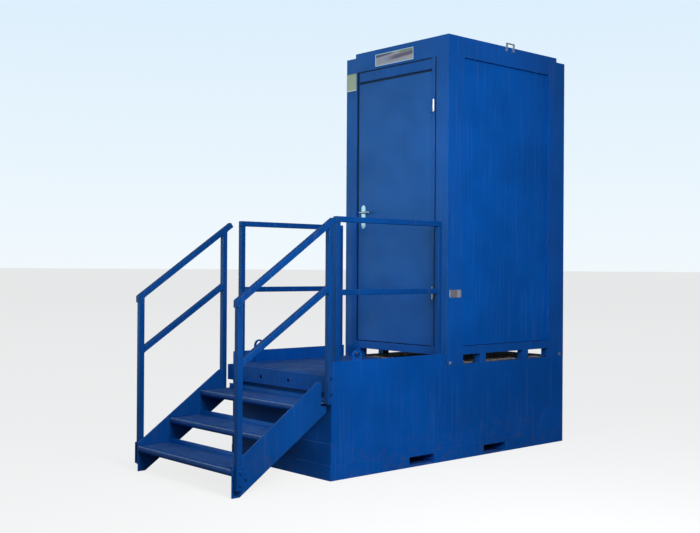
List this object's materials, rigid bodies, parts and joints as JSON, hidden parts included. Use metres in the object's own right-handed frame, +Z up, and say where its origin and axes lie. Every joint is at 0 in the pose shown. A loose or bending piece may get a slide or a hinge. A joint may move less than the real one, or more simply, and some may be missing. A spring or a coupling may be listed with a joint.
{
  "type": "emergency safety shower",
  "caption": "Shower cabin with a hinged door on a steel waste-water tank with a deck, open stair, square-tube handrails and fork tunnels.",
  "frame": {"origin": "centre of the underside of the tank, on the ground", "axes": "+X to the right of someone who faces the door, +Y from the stair to the back of the cabin, +Z up"},
  "size_m": [1.286, 3.592, 3.3025],
  "materials": {
    "tank_paint": "satin blue enamel on welded steel plate",
    "stair_paint": "satin blue enamel, worn on the nosings",
    "rail_paint": "satin blue enamel on square tube",
    "cabin_paint": "satin blue enamel on folded steel",
    "wall_paint": "satin blue coating on fine-ribbed sheet",
    "door_paint": "satin blue coating on smooth sheet",
    "lining": "white coated sheet",
    "galvanised_steel": "hot-dip galvanised",
    "bolt_steel": "zinc plated, partly painted over",
    "stainless_steel": "brushed stainless",
    "plate_aluminium": "printed aluminium plate",
    "seal_rubber": "black EPDM",
    "tray_plastic": "moulded glass-fibre plastic, pale grey",
    "lamp_diffuser": "opal diffuser",
    "valve_brass": "cast and turned",
    "handle_paint": "black enamel",
    "signal_green": "green enamel"
  },
  "bodies": {
    "unit": {"base_frame": "tank_paint", "cabin_seat": "tank_paint", "ceiling_light": "lamp_diffuser", "ceiling_panel": "lining", "corner_post_front_left": "cabin_paint", "corner_post_front_right": "cabin_paint", "corner_post_rear_left": "cabin_paint", "corner_post_rear_right": "cabin_paint", "deck_plate": "tank_paint", "door_frame": "cabin_paint", "door_seal": "seal_rubber", "drain_valve_body": "valve_brass", "floor_drain": "stainless_steel", "floor_rails": "cabin_paint", "floor_tray": "tray_plastic", "fork_tunnel_front": "tank_paint", "fork_tunnel_rear": "tank_paint", "frame_bolts": "rail_paint", "front_step_beam": "tank_paint", "hinge_frame_leaves": "stainless_steel", "hold_down_bolts": "bolt_steel", "inlet_flange": "galvanised_steel", "lifting_lugs": "tank_paint", "name_plate": "plate_aluminium", "pipe_clamps": "galvanised_steel", "platform_rail_left": "rail_paint", "platform_rail_right": "rail_paint", "roof_bracket": "galvanised_steel", "roof_rails": "cabin_paint", "roof_sheet": "galvanised_steel", "shower_arm": "galvanised_steel", "shower_head": "signal_green", "shower_valve": "valve_brass", "stair_handrail_left": "rail_paint", "stair_handrail_right": "rail_paint", "stringer_left": "stair_paint", "stringer_right": "stair_paint", "supply_pipe": "galvanised_steel", "tank_floor": "tank_paint", "tank_front_plate": "tank_paint", "tank_rear_plate": "tank_paint", "tank_side_left": "tank_paint", "tank_side_right": "tank_paint", "tank_top": "tank_paint", "tread_lower": "stair_paint", "tread_middle": "stair_paint", "tread_upper": "stair_paint", "wall_panel_left": "wall_paint", "wall_panel_rear": "wall_paint", "wall_panel_right": "wall_paint"},
    "door": {"door_leaf": "door_paint", "lock_case": "galvanised_steel", "escutcheons": "stainless_steel", "hinge_door_leaves": "stainless_steel"},
    "door_lever": {"lever_outside": "stainless_steel", "lever_inside": "stainless_steel"},
    "latch": {"latch_bolt": "stainless_steel"},
    "shower_lever": {"valve_lever": "handle_paint"},
    "shower_pull": {"pull_rod": "signal_green"},
    "drain_handle": {"drain_valve_handle": "handle_paint"}
  },
  "joints": [
    {"name": "door_swing", "type": "hinge", "parent": "unit", "child": "door", "pos_m": [0.437, -0.16, 2], "axis": [0, 0, 1], "range_deg": [0, 90]},
    {"name": "door_lever_turn", "type": "hinge", "parent": "door", "child": "door_lever", "pos_m": [-0.37, -0.15, 1.933], "axis": [0, 1, 0], "range_deg": [0, 40], "stiffness_Nm_per_rad": 1.6, "springref_deg": -28.65},
    {"name": "latch_slide", "type": "slide", "parent": "door", "child": "latch", "axis": [1, 0, 0], "range_m": [0, 0.012]},
    {"name": "shower_lever_turn", "type": "hinge", "parent": "unit", "child": "shower_lever", "pos_m": [0.04, 0.94, 2.96], "axis": [1, 0, 0], "range_deg": [0, 60]},
    {"name": "shower_pull_slide", "type": "slide", "parent": "unit", "child": "shower_pull", "axis": [0, 0, -1], "range_m": [0, 0.1]},
    {"name": "drain_handle_turn", "type": "hinge", "parent": "unit", "child": "drain_handle", "pos_m": [-0.35, 1.367, 0.26], "axis": [0, 0, 1], "range_deg": [0, 90]}
  ],
  "couplings": [
    {"joint": "latch_slide", "follows": "door_lever_turn", "m_per_rad": 0.0171},
    {"joint": "shower_pull_slide", "follows": "shower_lever_turn", "m_per_rad": 0.0954}
  ]
}
